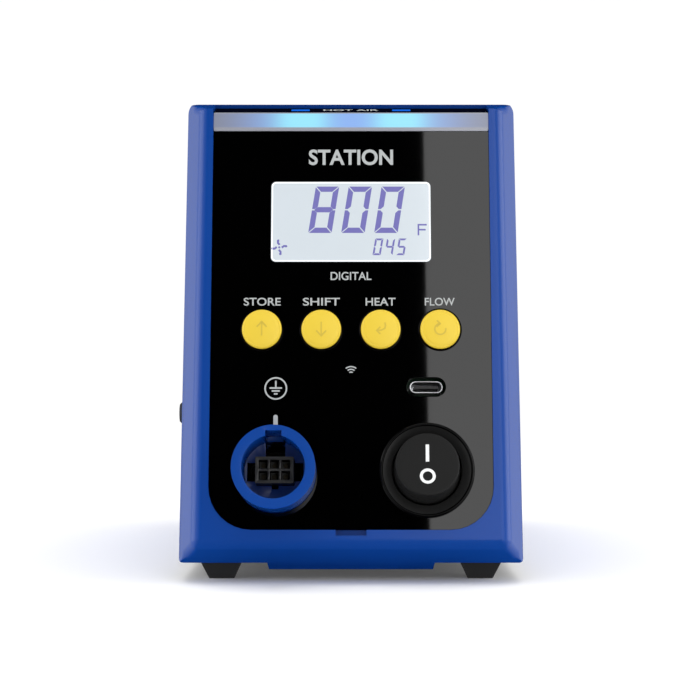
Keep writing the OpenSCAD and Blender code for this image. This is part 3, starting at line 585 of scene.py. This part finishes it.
class StationColours(bpy.types.PropertyGroup):
    """Colours, and the glow of the light bar"""
    blue: bpy.props.FloatVectorProperty(
        name="Case blue", description="Colour of the case", subtype="COLOR", size=3,
        default=srgb(8, 63, 146))
    yellow: bpy.props.FloatVectorProperty(
        name="Key yellow", description="Colour of the keys", subtype="COLOR", size=3,
        default=srgb(232, 200, 54))
    ink: bpy.props.FloatVectorProperty(
        name="Print", description="Colour of the printed marks", subtype="COLOR", size=3,
        default=srgb(178, 182, 182))
    screen: bpy.props.FloatVectorProperty(
        name="Screen", description="Lit ground of the display", subtype="COLOR", size=3,
        default=srgb(222, 231, 238))
    figures: bpy.props.FloatVectorProperty(
        name="Figures", description="Colour of the display's figures", subtype="COLOR", size=3,
        default=srgb(108, 104, 178))
    bar_dark: bpy.props.FloatVectorProperty(
        name="Bar ends", description="Glow at the ends of the light bar", subtype="COLOR", size=3,
        default=srgb(112, 110, 112))
    bar_blue: bpy.props.FloatVectorProperty(
        name="Bar glow", description="Glow around the lights", subtype="COLOR", size=3,
        default=srgb(118, 156, 240))
    bar_core: bpy.props.FloatVectorProperty(
        name="Bar lights", description="Colour in front of the lights", subtype="COLOR", size=3,
        default=srgb(138, 226, 248))
    spot_x: bpy.props.FloatProperty(
        name="Light distance", description="Distance of a light from the middle", unit="LENGTH",
        default=0.0136)
    spot_width: bpy.props.FloatProperty(
        name="Light spread", description="Half width of a light's glow", unit="LENGTH", default=0.0072)
    bar_low: bpy.props.FloatProperty(
        name="Bar foot", description="Height of the bar's lower edge", unit="LENGTH",
        default=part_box("light_bar")[0].z)
    bar_high: bpy.props.FloatProperty(
        name="Bar head", description="Height of the bar's upper edge", unit="LENGTH",
        default=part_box("light_bar")[1].z)


# ---- Operators ----
class STATION_OT_finishes(bpy.types.Operator):
    """Make every material"""
    bl_idname = "station.finishes"
    bl_label = "Finishes"

    def execute(self, context):
        colours = context.scene.station_colours
        FINISHES.update({
            "case": moulded("blue case", tuple(colours.blue), 0.2, grain=0.001 * MM, spread=0.04, sheen=0.24),
            "panel": glossy_panel("black gloss panel", (0.0003, 0.0003, 0.00035)),
            "satin": moulded("satin black", (0.0075, 0.0075, 0.008), 0.42, grain=0.003 * MM),
            "matt": moulded("matt label", (0.0012, 0.0016, 0.006), 0.6, grain=0.001 * MM, sheen=0.0),
            "black": moulded("textured black", (0.013, 0.013, 0.014), 0.5, grain=0.012 * MM, scale=2600.0),
            "rubber": moulded("black rubber", (0.014, 0.014, 0.0145), 0.62, grain=0.008 * MM, scale=3000.0),
            "grey_rubber": moulded("grey rubber", (0.026, 0.027, 0.029), 0.6, grain=0.008 * MM, scale=3000.0),
            "key": key_finish(tuple(colours.yellow)),
            "key_mark": moulded("key symbol", shade(tuple(colours.yellow), 0.8), 0.5, grain=0.003 * MM,
                                mottle=0.03),
            "gloss": moulded("polished black", (0.0015, 0.0015, 0.0016), 0.1, grain=0.0003 * MM, sheen=0.08),
            "housing": moulded("housing plastic", (0.0125, 0.0125, 0.0125), 0.3, grain=0.001 * MM,
                               sheen=0.25),
            "button": moulded("rocker plastic", (0.0135, 0.0135, 0.0135), 0.5, grain=0.002 * MM, sheen=0.08),
            "ink_white": moulded("bright print", (0.85, 0.86, 0.86), 0.5, mottle=0.02),
            "white": moulded("white plastic", (0.78, 0.78, 0.75), 0.45),
            "cable": moulded("grey cable", (0.5, 0.49, 0.44), 0.5),
            "board": moulded("green board", (0.012, 0.13, 0.045), 0.3, coat=0.5),
            "foam": moulded("filter foam", (0.03, 0.031, 0.033), 0.85, grain=0.2 * MM, scale=1400.0,
                            mottle=0.3),
            "ink": moulded("white print", tuple(colours.ink), 0.5, mottle=0.02),
            "figures": moulded("display figures", tuple(colours.figures), 0.5, mottle=0.02),
            "plate": moulded("blank plate", (0.42, 0.43, 0.45), 0.34),
            "copper": moulded("varnished winding", (0.42, 0.19, 0.035), 0.35, grain=0.1 * MM, scale=900.0,
                              coat=0.4),
            "steel": metal("zinc plated steel", (0.62, 0.63, 0.65), 0.24),
            "black_steel": metal("blackened steel", (0.02, 0.022, 0.03), 0.45),
            "dark_steel": metal("sheet steel", (0.34, 0.35, 0.37), 0.32),
            "aluminium": metal("extruded aluminium", (0.6, 0.61, 0.63), 0.3),
            "brass": metal("contact brass", (0.66, 0.47, 0.18), 0.28),
            # Contacts deep in the plug's cells, darkened as painted shade.
            "brass_in_painted_shade": metal("contacts in painted shade", (0.035, 0.03, 0.022), 0.4),
            "screen": lit("lit display", tuple(colours.screen), 0.6, shade(tuple(colours.screen), 0.35),
                          0.12),
            # A glowing white line: painted highlight along the display window's rim.
            "screen_rim_highlight": lit("painted display rim highlight", (0.96, 0.98, 1.0), 0.85, (0.5, 0.5, 0.5), 0.3),
            "window": lit("blue light window", srgb(12, 104, 225), 0.95, srgb(4, 30, 90), 0.35, 0.05, 0.0),
            "bar": bar_finish(colours),
        })
        glass = Finish("fuse glass", Base_Color=(0.85, 0.9, 0.92), Roughness=0.04, IOR=1.45,
                       Transmission_Weight=0.9)
        glass.bump(glass.noise(300.0), 0.001 * MM)
        FINISHES["glass"] = glass.material
        return {"FINISHED"}


class STATION_OT_case(bpy.types.Operator):
    """Build the front frame, cover, tray, back panel and feet"""
    bl_idname = "station.case"
    bl_label = "Case"

    def execute(self, context):
        sizes = context.scene.station_sizes
        shell = rounded_frame("front_frame", sizes.border_round, sizes.fine_round)
        add_piece("front_frame_shell", shell, "case", replaces=("front_frame",), smooth=50.0)
        weigh_normals(shell)
        sheet("cover", "case")
        sheet("tray", "black")
        sheet("back_panel", "black")
        softened("feet", "rubber", sizes.foot_round)
        softened("rating_plate", "plate", sizes.fine_round / 2)
        return {"FINISHED"}


class STATION_OT_panel(bpy.types.Operator):
    """Build the gloss front panel, the light bar and the top label"""
    bl_idname = "station.front_panel"
    bl_label = "Front panel"

    def execute(self, context):
        sizes = context.scene.station_sizes
        softened("front_panel", "panel", sizes.fine_round, segments=3)
        softened("light_bar", "bar", sizes.fine_round)
        softened("top_label", "matt", sizes.fine_round)
        softened("light_windows", "window", sizes.fine_round / 2)
        bm = bmesh.new()
        lettering(bm, "HOT AIR", 0, 4.9, 3.2, 15.5, 0.02)
        add_piece("top_mark", from_bmesh(bm, "top_mark", ON_LABEL), "ink")
        return {"FINISHED"}


class STATION_OT_print(bpy.types.Operator):
    """Print the plain marks on the front panel"""
    bl_idname = "station.marks"
    bl_label = "Panel marks"

    def execute(self, context):
        bm = bmesh.new()
        lettering(bm, "STATION", 0, NAME_UP, 4.5, 23.4, 0.025)
        lettering(bm, "DIGITAL", 0, KIND_UP, 2.3, 11.2, 0.012)
        for number, word in enumerate(("STORE", "SHIFT", "HEAT", "FLOW")):
            lettering(bm, word, key_x(number), KEY_WORDS_UP, 2.2, 1.9 * len(word) + 0.6, 0.012)
        for i in range(3):
            stroke(bm, curve(0, EYE_UP, 0.7 + 0.75 * i, 50, 130, 8), 0.32, INK)
        x, y, line = SOCKET_X, EARTH_UP, 0.42
        tick, tick_end, half_tick = SOCKET_UP + 11.3, SOCKET_UP + 14.9, 0.6
        ring(bm, x, y, 2.9, line, INK)
        stroke(bm, [(x, y + 2.1), (x, y + 0.2)], line, INK)
        for i, half in enumerate((1.7, 1.1, 0.5)):
            bar = y + 0.1 - 0.8 * i
            stroke(bm, [(x - half, bar), (x + half, bar)], line, INK)
        foot = [(x - half_tick, tick), (x + half_tick, tick)]
        flat(bm, foot + curve(x, tick_end, half_tick, 0, 180, 8), INK)
        place = FACE @ Matrix.Translation((0, 0, PANEL_FRONT))
        add_piece("panel_marks", from_bmesh(bm, "panel_marks", place), "ink")
        return {"FINISHED"}


class STATION_OT_display(bpy.types.Operator):
    """Build the lit display with its figures"""
    bl_idname = "station.display"
    bl_label = "Display"

    def execute(self, context):
        softened("display_window", "screen", 0.1)
        place = FACE @ Matrix.Translation((0, DISPLAY_UP, PANEL_FRONT - 0.1))
        bm = bmesh.new()
        # A thin glowing ring around the display: painted highlight on the window's rim.
        stroke(bm, rounded(43.5, 22.2, 1.1), 0.35, FIGURE, closed=True)
        add_piece("display_rim_highlight", from_bmesh(bm, "display_rim_highlight", place), "screen_rim_highlight")
        bm = bmesh.new()
        big_pitch, small_pitch = 9.1, 3.25
        for i, figure in enumerate("800"):
            digit(bm, figure, -11.81 + big_pitch * i, -3.23, 6.47, 13.2, 1.5, 0.158)
        for i, figure in enumerate("045"):
            digit(bm, figure, 5.9 + small_pitch * i, -9.5, 2.25, 4.7, 0.52, 0.17, 0.08)
        letter_x, letter_line = 18.6, 0.45
        stroke(bm, [(letter_x, -3.9), (letter_x, -0.9), (20.9, -0.9)], letter_line, FIGURE)
        stroke(bm, [(letter_x + 0.22, -2.3), (20.6, -2.3)], letter_line, FIGURE)
        fan_x, fan_y = -19.75, -7.3
        for quarter in range(4):
            turn = Matrix.Rotation(math.radians(90 * quarter - 12), 2)
            blade = [turn @ Vector(p) for p in ((0.7, 0.05), (1.15, 0.62), (1.75, 0.75), (1.95, 0.45))]
            stroke(bm, [(p.x + fan_x, p.y + fan_y) for p in blade], 0.55, FIGURE)
        flat(bm, curve(fan_x, fan_y, 0.3, 0, 330, 11), FIGURE)
        add_piece("display_figures", from_bmesh(bm, "display_figures", place), "figures")
        return {"FINISHED"}


def arrow_marks():
    """The four key symbols as lists of lines, in millimetres about each key's middle."""
    up = [[(0, -1.9), (0, 1.9)], [(-1.35, 0.5), (0, 1.95), (1.35, 0.5)]]
    down = [[(x, -y) for x, y in line] for line in up]
    hook = [(1.1, 1.7), (1.3, 0.9), (1.1, 0.1), (0.2, -0.4), (-0.9, -0.5)]
    back = [hook, [(-0.1, 0.5), (-1.1, -0.5), (-0.1, -1.5)]]
    cycle = [curve(0, -0.1, 1.5, 100, 370, 16), [(-0.9, 2.3), (0.0, 1.4), (-1.0, 0.5)]]
    return up, down, back, cycle


class STATION_OT_keys(bpy.types.Operator):
    """Build the four round keys and their raised symbols"""
    bl_idname = "station.keys"
    bl_label = "Keys"

    def execute(self, context):
        sizes = context.scene.station_sizes
        r = sizes.key_radius
        flange, stem = r + 1.35, 2.15
        crown = [(0, 1.17), (1.4, 1.14), (2.8, 1.06), (4.0, 0.94), (4.55, 0.86), (4.68, 0.78), (4.82, 0.78),
                 (4.95, 0.8)]
        rim = [(r - 0.3, 0.66), (r - 0.12, 0.5), (r - 0.02, 0.24), (r, 0.0)]
        skirt = [(r, -3.05), (flange, -3.05), (flange, -3.95), (stem, -3.95), (stem, -5.95), (0, -5.95)]
        for number, lines in enumerate(arrow_marks()):
            body = f"key_{number + 1}"
            place = FACE @ Matrix.Translation((key_x(number), KEY_UP, 0))
            lathe(body + "_cap", crown + rim + skirt, "key", place, body, (body,), steps=64)
            bm = bmesh.new()
            for line in lines:
                stroke(bm, line, 0.42, sizes.mark_relief)
            raised = place @ Matrix.Translation((0, 0, 1.08))
            add_piece(body + "_mark", from_bmesh(bm, body + "_mark", raised), "key_mark", body)
        return {"FINISHED"}


class STATION_OT_sockets(bpy.types.Operator):
    """Build the hose socket, its connector and the data port"""
    bl_idname = "station.sockets"
    bl_label = "Sockets"

    def execute(self, context):
        fine = context.scene.station_sizes.fine_round
        softened("hose_socket", "case", fine * 2)
        softened("socket_plug", "satin", fine / 2, segments=2)
        softened("usb_shell", "steel", fine / 2, segments=2)
        softened("usb_tongue", "black", fine / 3, segments=2)
        return {"FINISHED"}


def face_height(y):
    """Height of the button's hollow face above its pivot."""
    return ROCKER_OUT - ROCKER_DIP + ROCKER_HOLLOW - math.sqrt(ROCKER_HOLLOW ** 2 - y * y)


def button_mesh(steps=96, rim=0.45, pin_r=1.2, pin_middle=9.4):
    """The rocker's button about its pivot: hollow face, round rim, wall, part of a ball and two pins."""
    bm = bmesh.new()

    def level(radius, height):
        points = curve(0, 0, radius, 0, 360, steps)[:-1]
        return [bm.verts.new((x, y, height(y))) for x, y in points]

    profile = [(radius, 0.0) for radius in (2.0, 4.0, 6.0, 7.4, ROCKER_R - rim)]
    for angle in map(math.radians, (22, 45, 68, 90)):
        profile.append((ROCKER_R - rim + rim * math.sin(angle), rim * (1 - math.cos(angle))))
    levels = [level(radius, lambda y, drop=drop: face_height(y) - drop) for radius, drop in profile]
    levels.append(level(ROCKER_R, lambda y: 3.3))
    for height in (3.0, 2.0, 1.0, 0.0, -1.5, -3.0, -4.0):
        levels.append(level(math.sqrt(ROCKER_BALL_R ** 2 - height ** 2), lambda y, height=height: height))
    middle = bm.verts.new((0, 0, face_height(0)))
    for i in range(steps):
        j = (i + 1) % steps
        bm.faces.new((middle, levels[0][i], levels[0][j]))
        for upper, lower in zip(levels, levels[1:]):
            bm.faces.new((upper[i], lower[i], lower[j], upper[j]))
    bm.faces.new(levels[-1][::-1])
    for side in (-1, 1):
        place = Matrix.Rotation(ROCKER_TILT, 4, "X") @ Matrix.Translation((side * pin_middle, 0, 0))
        bmesh.ops.create_cone(bm, cap_ends=True, segments=24, radius1=pin_r, radius2=pin_r, depth=2 * pin_r,
                              matrix=place @ Matrix.Rotation(math.pi / 2, 4, "Y"))
    bmesh.ops.recalc_face_normals(bm, faces=bm.faces)
    return bm


class STATION_OT_rocker(bpy.types.Operator):
    """Build the round rocker with its on and off marks"""
    bl_idname = "station.rocker"
    bl_label = "Rocker"

    def execute(self, context):
        pivot = FACE.inverted() @ Vector(ROCKER["pos_m"])
        around = FACE @ Matrix.Translation((pivot.x, pivot.y, 0))
        bore, edge, bead, foot, well, base = ROCKER_BORE_R, ROCKER_FLANGE_R, 11.85, -0.45, -11.95, -19.95
        barrel = 11.3
        dish = [(bore, well), (bore, 0.1), (bore + 0.05, 0.22), (bore + 0.2, 0.32), (bead, 1.2), (bead, foot),
                (barrel, foot), (barrel, base), (0, base), (0, well), (bore, well)]
        node = ("rocker_housing",)
        lathe("rocker_housing_shell", dish, "housing", around, replaces=node, steps=96)
        rim = [(bead, 1.2), (11.93, 1.36), (12.1, 1.47), (12.3, 1.5), (12.5, 1.43), (12.68, 1.25),
               (12.8, 1.0), (edge, 0.7), (edge, foot), (bead, foot), (bead, 1.2)]
        lathe("rocker_housing_bead", rim, "gloss", around, replaces=node, steps=96)
        place = around @ Matrix.Translation((0, 0, pivot.z)) @ Matrix.Rotation(-ROCKER_TILT, 4, "X")
        button = from_bmesh(button_mesh(), "rocker_button", place)
        add_piece("rocker_button_shell", button, "button", "rocker", ("rocker_button",),
                  smooth=40.0)
        bm = bmesh.new()
        flat(bm, [(-0.46, 0.85), (0.46, 0.85), (0.46, 5.5), (-0.46, 5.5)], 0.05)
        ring(bm, 0, -3.15, 1.72, 0.8, 0.05)
        for vert in bm.verts:
            vert.co.z += face_height(vert.co.y)
        add_piece("rocker_marks", from_bmesh(bm, "rocker_marks", place), "ink_white", "rocker")
        return {"FINISHED"}


class STATION_OT_back(bpy.types.Operator):
    """Build the mains inlet, its fuse drawer and all screws"""
    bl_idname = "station.back"
    bl_label = "Back and screws"

    def execute(self, context):
        fine = context.scene.station_sizes.fine_round
        softened("inlet_body", "black", fine * 2)
        softened("inlet_pins", "steel", fine)
        softened("fuse_drawer", "black", fine, "drawer")
        softened("foot_screws", "steel", fine / 2, segments=2)
        softened("back_screws", "steel", fine / 2, segments=2)
        softened("holder_screws", "black_steel", fine / 2, segments=2)
        softened("inlet_screws", "steel", fine / 2, segments=2)
        return {"FINISHED"}


class STATION_OT_inside(bpy.types.Operator):
    """Give the pieces inside their finishes"""
    bl_idname = "station.inside"
    bl_label = "Inside"

    def execute(self, context):
        finishes = {
            "white": ("display_frame", "display_backlight", "impeller", "board_sockets"),
            "screen": ("display_glass",),
            "board": ("display_board", "main_board"),
            "steel": ("display_screws", "duct_clips", "motor_shaft", "board_screws"),
            "black": ("key_switches", "blower_housing", "blower_cover", "capacitors", "triac"),
            "window": ("status_lights",),
            "satin": ("remote_eye",),
            "brass": ("rocker_tabs",),
            # The socket pins get painted shade for their deep cells.
            "brass_in_painted_shade": ("socket_pins",),
            "grey_rubber": ("air_duct", "blower_dampers"),
            "dark_steel": ("motor", "transformer_core"),
            "copper": ("transformer_coil",),
            "aluminium": ("heat_sink",),
            "case": ("relay",),
            "cable": ("ribbon_cable",),
            "foam": ("air_filter",),
            "glass": ("fuse",),
        }
        for name, nodes in finishes.items():
            for node in nodes:
                for place in frame["nodes"][node].material_slots:
                    place.material = finish(name)
        return {"FINISHED"}


def area_light(name, position, aim, width, height, watts):
    """A rectangular lamp that looks at a point."""
    lamp = bpy.data.lights.new(name, "AREA")
    lamp.shape = "RECTANGLE"
    lamp.size, lamp.size_y, lamp.energy = width, height, watts
    holder = bpy.data.objects.new(name, lamp)
    bpy.context.scene.collection.objects.link(holder)
    holder.location = position
    holder.rotation_euler = (Vector(aim) - Vector(position)).to_track_quat("-Z", "Y").to_euler()
    return holder


def paper_floor(scene):
    """A sheet of paper that fades out around the station and gives off a trace of light."""
    bm = bmesh.new()
    bmesh.ops.create_grid(bm, x_segments=1, y_segments=1, size=6.0)
    floor = bpy.data.objects.new("floor", from_bmesh(bm, "floor"))
    scene.collection.objects.link(floor)
    paper = Finish("studio paper", Roughness=0.9, Specular_IOR_Level=0.1, Emission_Color=(1, 1, 1),
                   Emission_Strength=0.045)
    paper.set("Base Color", paper.mix(paper.noise(60.0), (0.95, 0.95, 0.95), (0.97, 0.97, 0.97)))
    across, along, _ = paper.split()
    distance = (across * across + along * along) ** 0.5
    paper.set("Alpha", (1.6 - 3.2 * distance).clip())
    floor.data.materials.append(paper.material)
    floor.visible_glossy = False


def studio_world(scene):
    """White to the eye, bright at both sides in reflections, and soft grey as light."""
    world = bpy.data.worlds.new("studio")
    scene.world = world
    world.use_nodes = True
    tree = world.node_tree
    tree.nodes.clear()
    output = tree.nodes.new("ShaderNodeOutputWorld")
    ground = tree.nodes.new("ShaderNodeBackground")
    ground.inputs["Color"].default_value = (1, 1, 1, 1)
    tree.links.new(ground.outputs[0], output.inputs[0])
    direction = tree.nodes.new("ShaderNodeTexCoord")
    split = tree.nodes.new("ShaderNodeSeparateXYZ")
    tree.links.new(direction.outputs["Generated"], split.inputs[0])
    ray = tree.nodes.new("ShaderNodeLightPath")
    mirror = (abs(Wire(tree, split.outputs[0])) * 1.8 - 0.75).clip() * 2.2
    seen = Wire(tree, ray.outputs["Is Camera Ray"])
    reflected = Wire(tree, ray.outputs["Is Glossy Ray"])
    brightness = seen * 1.02 + (1 - seen) * (reflected * mirror + (1 - reflected) * 0.86)
    tree.links.new(brightness.socket, ground.inputs["Strength"])


def level_camera(scene, distance=456.56, height=62.9, aside=-0.27):
    """A level camera in front of the station, placed in millimetres from the foot of its front."""
    camera = bpy.data.cameras.new("camera")
    camera.sensor_width = 36.0
    camera.lens = 88.05
    camera.clip_start, camera.clip_end = 0.01, 50.0
    holder = bpy.data.objects.new("camera", camera)
    scene.collection.objects.link(holder)
    holder.location = (aside * MM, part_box("front_frame")[0].y - distance * MM, height * MM)
    holder.rotation_euler = (math.pi / 2, 0, 0)
    scene.camera = holder


class STATION_OT_stage(bpy.types.Operator):
    """Set up the floor, the soft studio light and the camera"""
    bl_idname = "station.stage"
    bl_label = "Stage"

    def execute(self, context):
        scene = context.scene
        scene.view_settings.view_transform = "Standard"
        paper_floor(scene)
        studio_world(scene)
        low, high = cad_box
        middle = (low + high) / 2
        card = area_light("reflected card", (0.416, -1.02, 0.44), (0.416, 0, 0.44), 0.7, 1.1, 5.3)
        card.visible_diffuse = False
        area_light("overhead", (0.0, -0.1, 1.5), middle, 1.2, 1.2, 8.0)
        area_light("left fill", (-1.3, -0.25, 0.4), middle, 0.8, 0.9, 5.0)
        area_light("right fill", (1.3, -0.25, 0.4), middle, 0.8, 0.9, 6.5)
        level_camera(scene)
        return {"FINISHED"}


class STATION_PT_builder(bpy.types.Panel):
    """Lists the steps and the settings"""
    bl_idname = "STATION_PT_builder"
    bl_label = "Hot Air Station"
    bl_space_type = "VIEW_3D"
    bl_region_type = "UI"
    bl_category = "Station"

    def draw(self, context):
        for group in (context.scene.station_sizes, context.scene.station_colours):
            for name in group.__annotations__:
                self.layout.prop(group, name)
        for step in STEPS:
            self.layout.operator(step.bl_idname)


STEPS = (STATION_OT_finishes, STATION_OT_case, STATION_OT_panel, STATION_OT_print, STATION_OT_display,
         STATION_OT_keys, STATION_OT_sockets, STATION_OT_rocker, STATION_OT_back, STATION_OT_inside,
         STATION_OT_stage)
CLASSES = (StationSizes, StationColours, *STEPS, STATION_PT_builder)


def register():
    for cls in CLASSES:
        bpy.utils.register_class(cls)
    bpy.types.Scene.station_sizes = bpy.props.PointerProperty(type=StationSizes)
    bpy.types.Scene.station_colours = bpy.props.PointerProperty(type=StationColours)


def unregister():
    del bpy.types.Scene.station_sizes
    del bpy.types.Scene.station_colours
    for cls in reversed(CLASSES):
        bpy.utils.unregister_class(cls)


def main():
    """Builds everything, in order."""
    register()
    for step in STEPS:
        group, name = step.bl_idname.split(".")
        getattr(getattr(bpy.ops, group), name)()


if __name__ == "__main__":
    main()
